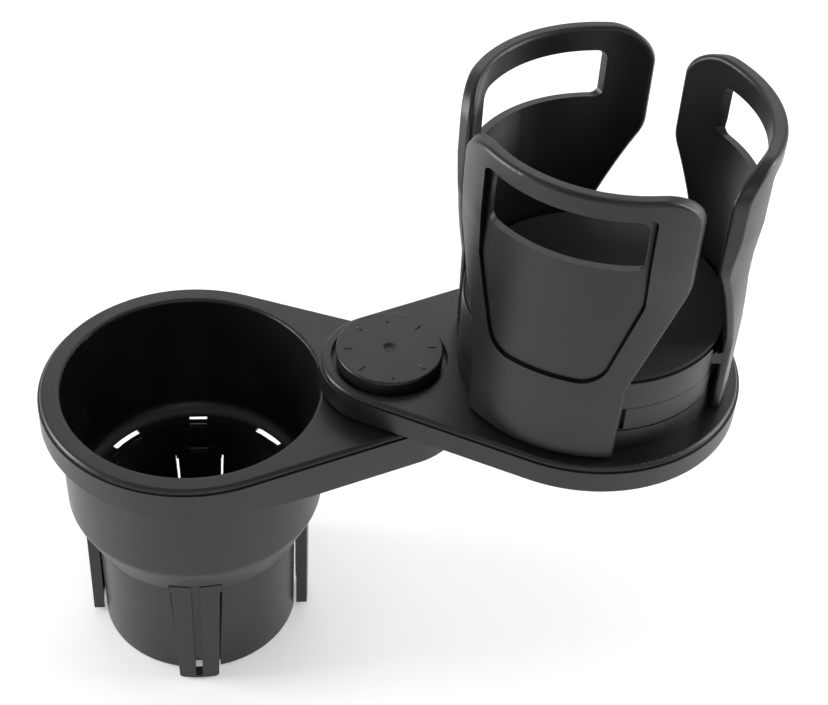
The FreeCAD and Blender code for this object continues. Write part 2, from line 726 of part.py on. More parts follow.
def make_hub_cover():
    """Round plate that closes the underside of the pivot end."""
    body = new_body("hub_cover")
    disc = sketch_on(body, "disc", "XY_Plane", SKIRT_LOW)
    circle(disc, "hub_radius - skirt_wall - cover_fit", "pivot_offset")
    pad(body, "disc_pad", disc, "cover_thickness")
    trim = sketch_on(body, "trim", "XY_Plane", SKIRT_LOW + " - 1")
    edge = "opening_radius + bowl_wall + cover_fit"
    polygon(trim, [("0", "-" + PAST), (edge, "-" + PAST), (edge, PAST), ("0", PAST)])
    pocket(body, "trim_cut", trim, upward=True)
    screw_holes(body, "holes", hub_screw_spots(), SKIRT_LOW, "cover_thickness")


def make_ring(label, outer, inner, low, height, across="pivot_offset"):
    """Plain round sleeve or washer about the pivot."""
    body = new_body(label)
    sketch = sketch_on(body, "section", "XY_Plane", low)
    circle(sketch, outer)
    circle(sketch, inner)
    pad(body, "pad", sketch, height)
    if across:
        bind(body, "Placement.Base.x", across)
    return body


def make_clamp_bolt():
    """Hexagonal head keyed in the boss, and a plain-drawn M8 shank up to the knob."""
    body = new_body("clamp_bolt")
    head = sketch_on(body, "head", "XY_Plane", NUT_SEAT + " - nut_height - 0.05")
    hex_outline(head, "nut_flats / 2", "0")
    pad(body, "head_pad", head, "nut_height")
    shank = sketch_on(body, "shank", "XY_Plane", NUT_SEAT + " - 0.1")
    circle(shank, "bolt_radius")
    pad(body, "shank_pad", shank, KNOB_TOP + " - 2.4 - (" + NUT_SEAT + " - 0.1)")
    tip = measure(KNOB_TOP + " - 2.4")
    round_edges(body, "tip", lambda edge: is_circle(edge, SIZES["bolt_radius"], tip), "0.8",
                "PartDesign::Chamfer")
    bind(body, "Placement.Base.x", "pivot_offset")


def make_knob():
    """Smooth turning knob with a countersunk centre and raised pointer ticks."""
    body = new_body("knob")
    low = RECESS_FLOOR + " + knob_float"
    insert_top = KNOB_TOP + " - insert_cover"
    turn_section(body, "disc", [
        ("insert_radius", low), ("knob_radius - 0.4", low), ("knob_radius", KNOB_TOP),
        ("0", KNOB_TOP), ("0", insert_top), ("insert_radius", insert_top),
    ])
    top = measure(KNOB_TOP)
    round_edges(body, "rim", lambda edge: is_circle(edge, SIZES["knob_radius"], top), "rim_round")
    turn_section(body, "dimple", [
        ("0", KNOB_TOP + " - dimple_depth"), ("dimple_floor", KNOB_TOP + " - dimple_depth + 0.2"),
        ("dimple_radius", KNOB_TOP + " + 0.1"), ("0", KNOB_TOP + " + 0.1"),
    ], cut=True)
    tick = sketch_on(body, "tick", "XY_Plane", KNOB_TOP + " - 0.1")
    polygon(tick, [
        ("tick_start", "-tick_half"), ("tick_end", "-tick_half"),
        ("tick_end", "tick_half"), ("tick_start", "tick_half"),
    ])
    tick_pad = pad(body, "tick_pad", tick, "tick_height + 0.1")
    repeat_round(body, "ticks", [tick_pad], KNOB_TICKS)
    bind(body, "Placement.Base.x", "pivot_offset")


def make_knob_insert():
    """Brass insert moulded into the knob, running on the bolt."""
    make_ring("knob_insert", "insert_radius", "bolt_radius + running",
              RECESS_FLOOR + " + knob_float", "knob_height - insert_cover - 0.1")


def make_arm_shell():
    """Top shell of the swing arm, with a round recess for the knob."""
    body = new_body("arm_shell")
    starts = (23.0, 51.0, 65.0)
    skirt = sketch_on(body, "skirt", "XY_Plane", ARM_LOW)
    teardrop(skirt, "arm_hub_radius", "arm_radius", "arm_length", starts)
    pad(body, "skirt_pad", skirt, "arm_height - crease_drop")
    slab = sketch_on(body, "slab", "XY_Plane", ARM_CREASE)
    teardrop(slab, "arm_hub_radius - crease_step", "arm_radius - crease_step", "arm_length", starts)
    pad(body, "slab_pad", slab, "crease_drop")
    hollow = sketch_on(body, "hollow", "XY_Plane", ARM_LOW)
    teardrop(hollow, "arm_hub_radius - skirt_wall", "arm_radius - skirt_wall", "arm_length", starts)
    pocket(body, "hollow_cut", hollow, "arm_height - deck_thickness", upward=True)
    top = measure(ARM_TOP)
    round_edges(body, "deck_edge", lambda edge: lies_flat_at(edge, top), "edge_round")
    boss = sketch_on(body, "boss", "XY_Plane", ARM_LOW)
    circle(boss, "hub_boss_radius")
    pad(body, "boss_pad", boss, "arm_height - recess_depth")
    web = sketch_on(body, "web", "XY_Plane", RECESS_FLOOR + " - 2.4")
    circle(web, "recess_radius + 1")
    pad(body, "web_pad", web, "2.4")
    recess = sketch_on(body, "recess", "XY_Plane", RECESS_FLOOR)
    circle(recess, "recess_radius")
    pocket(body, "recess_cut", recess, "recess_depth + 1", upward=True)
    bore = sketch_on(body, "bore", "XY_Plane", "deck_height")
    circle(bore, BUSH_OUTER)
    pocket(body, "bore_cut", bore, upward=True)
    add_arm_posts(body)
    place_on_arm(body)


def arm_screw_spots():
    """Places of the four cover screws, as formulas about the pivot."""
    near = "recess_radius + screw_boss + 4"
    side = "arm_hub_radius / 2"
    far = "arm_length + arm_radius * 0.62"
    reach = "arm_radius * 0.62"
    return ((near, "-" + side), (near, side), (far, "-" + reach), (far, reach))


def post_spots(centre="0", phase="0"):
    """Places of the pedestal's three screw posts, about a centre on the X axis."""
    spots = []
    for step in range(3):
        angle = "(%s + %d)" % (phase, SCREW_TURN / 2 + SCREW_TURN * step)
        across = "%s + %s * cos%s" % (centre, POST_CIRCLE, angle)
        spots.append((across, "%s * sin%s" % (POST_CIRCLE, angle)))
    return spots


def add_arm_posts(body):
    """Screw posts under the arm, and the holes for the pedestal's screws."""
    posts = sketch_on(body, "posts", "XY_Plane", ARM_LOW + " + cover_thickness + 0.1")
    holes = sketch_on(body, "holes", "XY_Plane", ARM_LOW + " + cover_thickness + 0.1")
    for across, up in arm_screw_spots():
        circle(posts, "screw_boss", across, up)
        circle(holes, "pilot_radius", across, up)
    pad(body, "posts_pad", posts, "arm_height - cover_thickness - deck_thickness + 0.1")
    pocket(body, "holes_cut", holes, "arm_height - cover_thickness - insert_cover", upward=True)
    passing = sketch_on(body, "passing", "XY_Plane", ARM_UNDER + " - 1")
    for across, up in post_spots("arm_length", "claw_phase"):
        circle(passing, "screw_radius + 0.2", across, up)
    pocket(body, "passing_cut", passing, upward=True)


def make_arm_cover():
    """Flat plate that closes the underside of the arm."""
    body = new_body("arm_cover")
    sheet = sketch_on(body, "sheet", "XY_Plane", ARM_LOW + " + 0.1")
    inset = "(skirt_wall + cover_fit)"
    teardrop(sheet, "arm_hub_radius - " + inset, "arm_radius - " + inset, "arm_length", (20.0, 48.0, 65.0))
    pad(body, "sheet_pad", sheet, "cover_thickness")
    hole = sketch_on(body, "hole", "XY_Plane", ARM_LOW)
    circle(hole, "hub_boss_radius + cover_fit")
    pocket(body, "hole_cut", hole, upward=True)
    screw_holes(body, "holes", arm_screw_spots(), ARM_LOW + " + 0.1", "cover_thickness")
    place_on_arm(body)


def make_pedestal_base():
    """Flange and lower band: three posts stand between the channels of the claws."""
    body = new_body("pedestal_base")
    ring(body, "disc", "pedestal_radius", "0", ARM_TOP, BAND_TOP)
    ring(body, "line", "pedestal_radius + 1", "pedestal_radius - line_depth",
         FLANGE_TOP + " - 0.3 - line_width", FLANGE_TOP + " - 0.3", cut=True)
    channel = sketch_on(body, "channel", "XY_Plane", BAND_TOP + " + 1")
    half = "(tongue_half + tongue_clearance)"
    end = "-channel_end"
    polygon(channel, [(end, "-" + half), (PAST, "-" + half), (PAST, half), (end, half)])
    channel_cut = pocket(body, "channel_cut", channel, "band_height + 1")
    relief = sketch_on(body, "relief", "XY_Plane", BAND_TOP + " + 1")
    wide = "(claw_foot_half + relief_gap)"
    near = "pedestal_radius * 0.78"
    polygon(relief, [(near, "-" + wide), (PAST, "-" + wide), (PAST, wide), (near, wide)])
    relief_cut = pocket(body, "relief_cut", relief, "band_height + 1")
    stop = sketch_on(body, "stop", "XY_Plane", FLANGE_TOP + " - 0.1")
    circle(stop, "stop_radius", "stop_place")
    stop_pad = pad(body, "stop_pad", stop, "band_height")
    repeat_round(body, "three_ways", [channel_cut, relief_cut, stop_pad], 3)
    hollow = sketch_on(body, "hollow", "XY_Plane", ARM_TOP)
    holes = sketch_on(body, "holes", "XY_Plane", ARM_TOP)
    circle(hollow, "pedestal_hollow")
    for across, up in post_spots():
        circle(holes, "pilot_radius", across, up)
    pocket(body, "hollow_cut", hollow, "flange_height - 2", upward=True)
    pocket(body, "holes_cut", holes, upward=True)
    place_on_pedestal(body)


def make_pedestal_cap():
    """Upper band with a closed top, notched for the racks of the claws."""
    body = new_body("pedestal_cap")
    low = BAND_TOP
    ring(body, "disc", "pedestal_radius", "0", low, CAP_TOP)
    turn_section(body, "hollow", [
        ("0", low + " - 1"), ("pedestal_radius - cap_wall", low + " - 1"),
        ("pedestal_radius - cap_wall", CAP_TOP + " - cap_wall"), ("0", CAP_TOP + " - cap_wall"),
    ], cut=True)
    notch = sketch_on(body, "notch", "XY_Plane", CAP_TOP + " + 1")
    near = "rack_reach + 9"
    low_side = "-rack_outer - rack_clearance"
    high_side = "-rack_outer + rack_width + 0.6"
    polygon(notch, [(near, low_side), (PAST, low_side), (PAST, high_side), (near, high_side)])
    notch_cut = pocket(body, "notch_cut", notch, "cap_height + 2")
    post = sketch_on(body, "post", "XY_Plane", low)
    across, up = post_spots()[0]
    sides = (("-", "-"), ("+", "-"), ("+", "+"), ("-", "+"))
    polygon(post, [
        ("%s %s post_half" % (across, right), "%s %s post_half" % (up, above)) for right, above in sides
    ])
    post_pad = pad(body, "post_pad", post, "cap_height - 1")
    repeat_round(body, "three_ways", [notch_cut, post_pad], 3)
    screw_holes(body, "holes", post_spots(), BAND_TOP, "cap_height", from_top=True)
    place_on_pedestal(body)


def make_foam_pad():
    """Soft textured disc on top of the pedestal."""
    body = new_body("foam_pad")
    ring(body, "disc", "pedestal_radius - pad_inset", "0", CAP_TOP, CAP_TOP + " + pad_thickness")
    top = measure(CAP_TOP + " + pad_thickness")
    radius = measure("pedestal_radius - pad_inset")
    round_edges(body, "rim", lambda edge: is_circle(edge, radius, top), "pad_round")
    place_on_pedestal(body)


def upright_sketch(name, facing):
    """Loose sketch in the XZ or YZ plane, for the solids of a claw."""
    sketch = doc.addObject("Sketcher::SketchObject", name)
    turns = {"XZ": FreeCAD.Rotation(Vector(1, 0, 0), 90), "YZ": FreeCAD.Rotation(Vector(1, 1, 1), 120)}
    sketch.Placement = FreeCAD.Placement(Vector(0, 0, 0), turns[facing])
    return sketch


def claw_turn(name, corners):
    """Turn a (radius, height) section about Z, over the sweep of one claw."""
    sketch = upright_sketch(name + "_section", "XZ")
    polygon(sketch, corners)
    turn = doc.addObject("Part::Revolution", name + "_turn")
    turn.Source = sketch
    turn.Axis = (0, 0, 1)
    turn.Angle = CLAW_SWEEP
    turn.Symmetric = True
    turn.Solid = True
    return turn


def claw_prism(name, loops):
    """Straight prism along +X through outlines given as (across, height) corners."""
    sketch = upright_sketch(name + "_outline", "YZ")
    for corners in loops:
        polygon(sketch, corners)
    prism = doc.addObject("Part::Extrusion", name + "_prism")
    prism.Base = sketch
    prism.DirMode = "Custom"
    prism.Dir = (1, 0, 0)
    bind(prism, "LengthFwd", PAST)
    prism.Solid = True
    return prism


def rounded(name, base, rounds):
    """Round the edges along X that stand at given (across, height) corners."""
    doc.recompute()
    chosen = []
    for across, height, radius in rounds:
        spot = (measure(across), measure(height))
        size = measure(radius)
        for number, edge in enumerate(base.Shape.Edges, start=1):
            box = edge.BoundBox
            near = abs(abs(box.Center.y) - spot[0]) < 0.05 and abs(box.Center.z - spot[1]) < 0.05
            if near and box.YLength < 0.01 and box.ZLength < 0.01:
                chosen.append((number, size, size))
    fillet = doc.addObject("Part::Fillet", name)
    fillet.Base = base
    fillet.Edges = chosen
    return fillet


def boolean(kind, name, base, tool):
    """Cut or Common of two solids."""
    result = doc.addObject("Part::" + kind, name)
    result.Base = base
    result.Tool = tool
    return result


def block(name, size, corner):
    """Box from formulas for its size and its low corner."""
    box = doc.addObject("Part::Box", name)
    for prop, text in zip(("Length", "Width", "Height"), size):
        bind(box, prop, text)
    for axis, text in zip("xyz", corner):
        bind(box, "Placement.Base." + axis, text)
    return box


def claw_face(label):
    """Flared wall of a claw, cut to its outline and opened by the window."""
    outer = "claw_inner + claw_wall"
    wall = claw_turn(label, [
        ("claw_inner", CLAW_LOW), (outer, CLAW_LOW), (outer, CLAW_LOW + " + rim_start"),
        (outer + " + rim_flare", CLAW_LOW + " + rim_start + rim_rise"),
        (outer + " + rim_flare", CLAW_TOP), ("claw_inner", CLAW_TOP),
    ])
    waist = CLAW_LOW + " + claw_waist"
    shoulder = CLAW_LOW + " + claw_shoulder"
    outline = claw_prism(label + "_face", [symmetric([
        ("claw_foot_half", CLAW_LOW + " - 1"), ("claw_waist_half", waist),
        ("claw_wide_half", shoulder), ("claw_wide_half", CLAW_TOP),
    ])])
    outline = rounded(label + "_face_round", outline, [
        ("claw_waist_half", waist, "waist_round"), ("claw_wide_half", shoulder, "side_round"),
        ("claw_wide_half", CLAW_TOP, "corner_round"),
    ])
    low = CLAW_LOW + " + window_bottom"
    high = CLAW_LOW + " + window_top"
    window = claw_prism(label + "_window", [symmetric([("window_half", low), ("window_half", high)])])
    window = rounded(label + "_window_round", window, [
        ("window_half", low, "window_low_round"), ("window_half", high, "window_high_round"),
    ])
    return boolean("Cut", label + "_opened", boolean("Common", label + "_shell", wall, outline), window)


def mark_shield(label, face):
    """Sink the shield panel in the outer face, with a deeper line round it."""
    deep = "claw_inner + panel_wall - shield_depth"
    line = boolean("Common", label + "_line", shield_prism(label + "_shield", "0"),
                   outer_skin(label + "_skin", deep))
    panel = boolean("Common", label + "_panel", shield_prism(label + "_inset", "shield_line"),
                    outer_skin(label + "_cover", deep))
    kept = boolean("Cut", label + "_groove", line, panel)
    sunk = boolean("Common", label + "_sunk", shield_prism(label + "_face_inset", "shield_line"),
                   outer_skin(label + "_above", "claw_inner + panel_wall"))
    return boolean("Cut", label + "_marked", boolean("Cut", label + "_grooved", face, kept), sunk)


def claw_feet(label):
    """Guide tongue with its stop slot, and the rack, both ending inside the claw's wall."""
    tongue = block(label + "_tongue",
                   ("claw_inner + 0.6 - tongue_reach", "2 * tongue_half", "tongue_height"),
                   ("tongue_reach", "-tongue_half", FLANGE_TOP + " + tongue_clearance"))
    reach = "(stop_radius + stop_clearance)"
    slot = block(label + "_slot",
                 ("claw_travel + 2 * " + reach, "2 * " + reach, "tongue_height + 2"),
                 ("stop_place - claw_travel - " + reach, "-" + reach, FLANGE_TOP + " - 0.5"))
    feet = doc.addObject("Part::MultiFuse", label + "_feet")
    feet.Shapes = [boolean("Cut", label + "_slide", tongue, slot), make_rack(label)]
    inside = doc.addObject("Part::Cylinder", label + "_inside")
    bind(inside, "Radius", "claw_inner + claw_wall / 2")
    bind(inside, "Height", CAP_TOP)
    return boolean("Common", label + "_trimmed", feet, inside)


def make_claw(label, number):
    """One claw: flared wall with a window and a shield line, on a guide tongue and a rack."""
    wall = soften_claw(label, mark_shield(label, claw_face(label)))
    feet = claw_feet(label)
    claw = doc.addObject("Part::MultiFuse", label)
    claw.Shapes = [wall, feet]
    claw.Refine = True
    place_on_pedestal(claw, str(SCREW_TURN * number))


def outer_skin(name, radius):
    """Thick ring outside a radius, which limits how deep a mark is cut in a claw."""
    return claw_turn(name, [
        (radius, CLAW_LOW), (PAST, CLAW_LOW), (PAST, CLAW_TOP), (radius, CLAW_TOP),
    ])


def shield_prism(name, inset):
    """Prism through the shield outline, drawn in by an inset all round."""
    waist = CLAW_LOW + " + shield_waist + 0.2 * (%s)" % inset
    foot = CLAW_LOW + " + shield_foot + (%s)" % inset
    head = CLAW_LOW + " + window_top + shield_head_round - (%s)" % inset
    foot_half = "shield_foot_half - 0.7 * (%s)" % inset
    side = "shield_side - (%s)" % inset
    prism = claw_prism(name, [symmetric([(foot_half, foot), (side, waist), (side, head)])])
    return rounded(name + "_round", prism, [
        (foot_half, foot, "shield_foot_round - (%s)" % inset),
        (side, waist, "shield_waist_round - (%s)" % inset),
        (side, head, "shield_head_round - (%s)" % inset),
    ])


def soften_claw(label, base):
    """Round the upper rim of a claw inside and out."""
    doc.recompute()
    top = measure(CLAW_TOP)
    chosen = []
    for number, edge in enumerate(base.Shape.Edges, start=1):
        if lies_flat_at(edge, top) and edge.BoundBox.YLength > 20:
            chosen.append((number, RIM_ROUND, RIM_ROUND))
    fillet = doc.addObject("Part::Fillet", label + "_rim")
    fillet.Base = base
    fillet.Edges = chosen
    return fillet


def make_rack(label):
    """Narrow toothed bar beside the tongue, one tooth for each click of the claw."""
    low = RACK_LOW
    bar = block(label + "_bar", ("claw_inner - 6.5 - rack_reach", "rack_width", "rack_height"),
                ("rack_reach", "-rack_outer", low))
    root = block(label + "_root", ("8", "rack_width", "rack_height"),
                 ("claw_inner - 8", "-rack_outer", low))
    sketch = upright_sketch(label + "_tooth", "XZ")
    first = "rack_reach + 8"
    bar_top = low + " + rack_height - 0.1"
    polygon(sketch, [
        (first, bar_top), (first + " + rack_pitch * 0.8", bar_top),
        (first + " + rack_pitch * 0.4", low + " + rack_height + rack_tooth"),
    ])
    teeth = []
    for step in range(RACK_TEETH):
        tooth = doc.addObject("Part::Extrusion", "%s_tooth_%d" % (label, step))
        tooth.Base = sketch
        tooth.DirMode = "Custom"
        tooth.Dir = (0, 1, 0)
        bind(tooth, "LengthFwd", "rack_width")
        tooth.Solid = True
        bind(tooth, "Placement.Base.x", "%d * rack_pitch" % step)
        bind(tooth, "Placement.Base.y", "-rack_outer")
        teeth.append(tooth)
    rack = doc.addObject("Part::MultiFuse", label + "_rack")
    rack.Shapes = [bar, root] + teeth
    return rack


def make_screws(label, spots, head_low, upward, placer):
    """Group of equal self-tapping screws, each turned from one section."""
    sketch = upright_sketch(label + "_section", "XZ")
    polygon(sketch, [
        ("0.9", "0"), ("screw_head", "0"), ("screw_head", "screw_head_height"),
        ("screw_radius", "screw_head_height"), ("screw_radius", "screw_length - 1"),
        ("0", "screw_length"), ("0", "0.6"),
    ])
    screws = []
    for number, (across, up) in enumerate(spots):
        screw = doc.addObject("Part::Revolution", "%s_%d" % (label, number))
        screw.Source = sketch
        screw.Axis = (0, 0, 1)
        screw.Angle = 360
        screw.Solid = True
        if not upward:
            screw.Placement.Rotation = FreeCAD.Rotation(Vector(1, 0, 0), 180)
        bind(screw, "Placement.Base.x", across)
        bind(screw, "Placement.Base.y", up)
        bind(screw, "Placement.Base.z", head_low)
        screws.append(screw)
    group = doc.addObject("Part::Compound", label)
    group.Links = screws
    placer(group)
    return group


def make_all():
    """Build every piece in its place."""
    fill_sheet()
    make_cup_shell()
    make_spigot()
    for number, name in enumerate(FIN_NAMES):
        make_fin(name, number)
    make_hub_cover()
    make_ring("base_bush", BUSH_OUTER, "bolt_radius + running", NUT_SEAT, "deck_height - (" + NUT_SEAT + ")")
    make_ring("friction_washer", "washer_radius", BUSH_OUTER, "deck_height", "washer_thickness")
    make_clamp_bolt()
    make_knob()
    make_knob_insert()
    make_arm_shell()
    make_arm_cover()
    arm_bush = make_ring("arm_bush", BUSH_OUTER, "bolt_radius + running", ARM_LOW,
                         "arm_height - recess_depth", "")
    place_on_arm(arm_bush)
    make_pedestal_base()
    make_pedestal_cap()
    make_foam_pad()
    for number, name in enumerate(CLAW_NAMES):
        make_claw(name, number)
    make_screws("hub_screws", hub_screw_spots(), SKIRT_LOW, True, lambda group: None)
    make_screws("arm_screws", arm_screw_spots(), ARM_LOW + " + 0.1", True, place_on_arm)
    under = ARM_UNDER + " - screw_head_height"
    make_screws("pedestal_screws", post_spots(), under, True, place_on_pedestal)
    make_screws("cap_screws", post_spots(), CAP_TOP, False, place_on_pedestal)


def check_all():
    """Stop when any feature failed or any sub-part isn't a valid solid."""
    doc.recompute()
    for thing in doc.Objects:
        if "Invalid" in thing.State or "Error" in thing.State:
            raise ValueError("failed feature: " + thing.Name)
    for name in NODES:
        shape = doc.getObject(name).Shape
        if shape.isNull() or not shape.isValid() or not shape.Solids:
            raise ValueError("bad sub-part: " + name)
        print("%-18s solids %d volume %9.1f" % (name, len(shape.Solids), shape.Volume))


def write_all():
    """Write one STEP file for each piece."""
    os.makedirs("parts", exist_ok=True)
    for name in NODES:
        doc.getObject(name).Shape.exportStep("parts/%s.step" % name)


make_all()
check_all()
write_all()
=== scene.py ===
"""Swivel cup holder that plugs into a cup well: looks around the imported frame."""
import math
import bpy
import bmesh
from mathutils import Matrix, Vector


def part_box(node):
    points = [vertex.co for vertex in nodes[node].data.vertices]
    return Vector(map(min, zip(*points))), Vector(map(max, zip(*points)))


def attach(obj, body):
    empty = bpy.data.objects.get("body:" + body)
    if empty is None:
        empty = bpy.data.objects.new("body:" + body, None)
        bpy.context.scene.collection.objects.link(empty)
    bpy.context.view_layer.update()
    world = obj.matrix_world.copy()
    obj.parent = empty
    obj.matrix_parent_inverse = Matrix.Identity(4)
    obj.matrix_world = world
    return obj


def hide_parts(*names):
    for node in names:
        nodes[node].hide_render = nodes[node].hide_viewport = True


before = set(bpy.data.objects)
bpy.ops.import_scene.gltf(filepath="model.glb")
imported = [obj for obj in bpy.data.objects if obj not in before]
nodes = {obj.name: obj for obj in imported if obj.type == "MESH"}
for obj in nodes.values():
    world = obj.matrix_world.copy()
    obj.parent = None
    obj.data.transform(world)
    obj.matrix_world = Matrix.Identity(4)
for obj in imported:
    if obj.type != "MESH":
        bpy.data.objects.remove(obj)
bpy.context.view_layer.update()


# ---------------------------------------------------------------- camera and studio
# A long lens stands in front of the cup well, looks down at the deck and leans a little. The black
# plastic is lit by four soft boxes, a sky that is brighter at the back and a pale, faintly lit floor.

SENSOR = 36.0
LENS = 74.313
CAMERA_AT = Vector((0.02241, -0.41506, 0.49105))
CAMERA_YAW = math.radians(6.94)
CAMERA_PITCH = math.radians(41.71)
CAMERA_ROLL = math.radians(3.85)

ahead = Vector((
    math.cos(CAMERA_PITCH) * math.sin(CAMERA_YAW),
    math.cos(CAMERA_PITCH) * math.cos(CAMERA_YAW),
    -math.sin(CAMERA_PITCH),
))
level_right = Vector((math.cos(CAMERA_YAW), -math.sin(CAMERA_YAW), 0))
level_up = level_right.cross(ahead)
right = level_right * math.cos(CAMERA_ROLL) + level_up * math.sin(CAMERA_ROLL)
up = level_up * math.cos(CAMERA_ROLL) - level_right * math.sin(CAMERA_ROLL)
camera_data = bpy.data.cameras.new("camera")
camera_data.sensor_width = SENSOR
camera_data.lens = LENS
camera_data.clip_start = 0.01
camera = bpy.data.objects.new("camera", camera_data)
turn = Matrix((right, up, -ahead)).transposed().to_4x4()
camera.matrix_world = Matrix.Translation(CAMERA_AT) @ turn
bpy.context.scene.collection.objects.link(camera)
bpy.context.scene.camera = camera

MIDDLE = Vector((0.065, 0.0, 0.08))


def soft_box(name, place, width, height, power):
    """Rectangular lamp that faces the middle of the object."""
    data = bpy.data.lights.new(name, "AREA")
    data.shape = "RECTANGLE"
    data.size = width
    data.size_y = height
    data.energy = power
    lamp = bpy.data.objects.new(name, data)
    way = MIDDLE - Vector(place)
    lamp.rotation_euler = way.to_track_quat("-Z", "Y").to_euler()
    lamp.location = place
    bpy.context.scene.collection.objects.link(lamp)


soft_box("back_box", (0.10, 1.20, 1.00), 1.4, 0.5, 2.2)
soft_box("left_box", (-0.90, 0.05, 0.22), 0.4, 0.8, 11.0)
soft_box("right_box", (1.10, 0.05, 0.48), 0.5, 0.9, 8.0)
soft_box("front_box", (0.25, -1.20, 0.75), 0.9, 0.5, 1.8)

SKY_FRONT = 0.28
SKY_BACK = 0.80
SKY_TURNS_AT = (-0.6, 0.8)
world = bpy.data.worlds.new("studio")
world.use_nodes = True
sky = world.node_tree
sky_place = sky.nodes.new("ShaderNodeTexCoord")
sky_split = sky.nodes.new("ShaderNodeSeparateXYZ")
sky_ramp = sky.nodes.new("ShaderNodeMapRange")
sky_ramp.inputs["From Min"].default_value = SKY_TURNS_AT[0]
sky_ramp.inputs["From Max"].default_value = SKY_TURNS_AT[1]
sky_ramp.inputs["To Min"].default_value = SKY_FRONT
sky_ramp.inputs["To Max"].default_value = SKY_BACK
sky.links.new(sky_place.outputs["Generated"], sky_split.inputs["Vector"])
sky.links.new(sky_split.outputs["Y"], sky_ramp.inputs["Value"])
sky.links.new(sky_ramp.outputs["Result"], sky.nodes["Background"].inputs["Strength"])
sky.nodes["Background"].inputs["Color"].default_value = (1, 1, 1, 1)
bpy.context.scene.world = world
bpy.context.scene.view_settings.view_transform = "Standard"

FLOOR_SIZE = 6.0
FLOOR_PLACE = (0.06, 0, -0.0002)
FLOOR_WHITE = 0.93
FLOOR_ROUGHNESS = 0.9
FLOOR_GLOW = 0.27
bpy.ops.object.select_all(action="DESELECT")
bpy.ops.mesh.primitive_plane_add(size=FLOOR_SIZE, location=FLOOR_PLACE)
floor = bpy.context.active_object
floor.name = "floor"
floor_material = bpy.data.materials.new("pale_floor")
floor_material.use_nodes = True
floor_shader = floor_material.node_tree.nodes["Principled BSDF"]
floor_shader.inputs["Base Color"].default_value = (FLOOR_WHITE, FLOOR_WHITE, FLOOR_WHITE, 1)
floor_shader.inputs["Roughness"].default_value = FLOOR_ROUGHNESS
floor_shader.inputs["Emission Color"].default_value = (1, 1, 1, 1)
floor_shader.inputs["Emission Strength"].default_value = FLOOR_GLOW
floor.data.materials.append(floor_material)


# ---------------------------------------------------------------- moulded body
# The cup shell, spigot, fins, arm, covers, pedestal and claws are injection moulded in one black
# polypropylene. Spark-eroded tooling gives it a fine satin grain, handling polishes the edges, and
# a lighter colour is painted along the edges as a highlight.

MOULDED = (
    "cup_shell", "spigot", "hub_cover", "arm_shell", "arm_cover", "pedestal_base", "pedestal_cap",
    "fin_right", "fin_back", "fin_left", "fin_front", "claw_right", "claw_back", "claw_front",
)
BODY_COLOUR = (0.0060, 0.0060, 0.0063)
# painted highlight: the lighter colour that the edge mask lays along the body's edges
BODY_EDGE_HIGHLIGHT = (0.018, 0.018, 0.019)
BODY_ROUGHNESS = 0.36
BODY_GRAIN = 0.00035
GRAIN_DEPTH = 0.00002
PLASTIC_IOR = 1.5
SHEEN_PATCH = 0.012
SHEEN_CHANGE = 0.12
EDGE_POLISH = 0.10
EDGE_REACH = 0.0006
EDGE_BREAKS = 260.0
WELD_GAP = 0.000002
SHARP_ANGLE = math.radians(40)
FLAT_WEIGHT = 80
MOULDED_RADIUS = 0.00025


def new_group(name, inputs, outputs):
    """Shader node group with named values going in and coming out."""
    group = bpy.data.node_groups.new(name, "ShaderNodeTree")
    for label, start in inputs:
        socket = group.interface.new_socket(label, in_out="INPUT", socket_type="NodeSocketFloat")
        socket.default_value = start
    for label in outputs:
        group.interface.new_socket(label, in_out="OUTPUT", socket_type="NodeSocketFloat")
    return group, group.nodes.new("NodeGroupInput"), group.nodes.new("NodeGroupOutput")


def add_math(tree, operation, first, second=None, clamp=False):
    """Math node whose inputs are sockets or plain numbers."""
    node = tree.nodes.new("ShaderNodeMath")
    node.operation = operation
    node.use_clamp = clamp
    for number, source in enumerate((first, second)):
        if source is None:
            continue
        if isinstance(source, bpy.types.NodeSocket):
            tree.links.new(source, node.inputs[number])
        else:
            node.inputs[number].default_value = source
    return node.outputs[0]


def make_grain_group():
    """Fine tooling texture: a height, and a slow patchiness of the sheen."""
    group, given, made = new_group(
        "tooling_grain", [("Size", 1.0), ("Patch Size", 1.0)], ["Height", "Patches"])
    place = group.nodes.new("ShaderNodeTexCoord")
    fine = group.nodes.new("ShaderNodeTexNoise")
    fine.inputs["Detail"].default_value = 2.0
    fine.inputs["Roughness"].default_value = 0.6
    slow = group.nodes.new("ShaderNodeTexNoise")
    slow.inputs["Detail"].default_value = 3.0
    for noise, label in ((fine, "Size"), (slow, "Patch Size")):
        group.links.new(place.outputs["Object"], noise.inputs["Vector"])
        scale = add_math(group, "DIVIDE", 1.0, given.outputs[label])
        group.links.new(scale, noise.inputs["Scale"])
    group.links.new(fine.outputs["Fac"], made.inputs["Height"])
    group.links.new(slow.outputs["Fac"], made.inputs["Patches"])
    return group


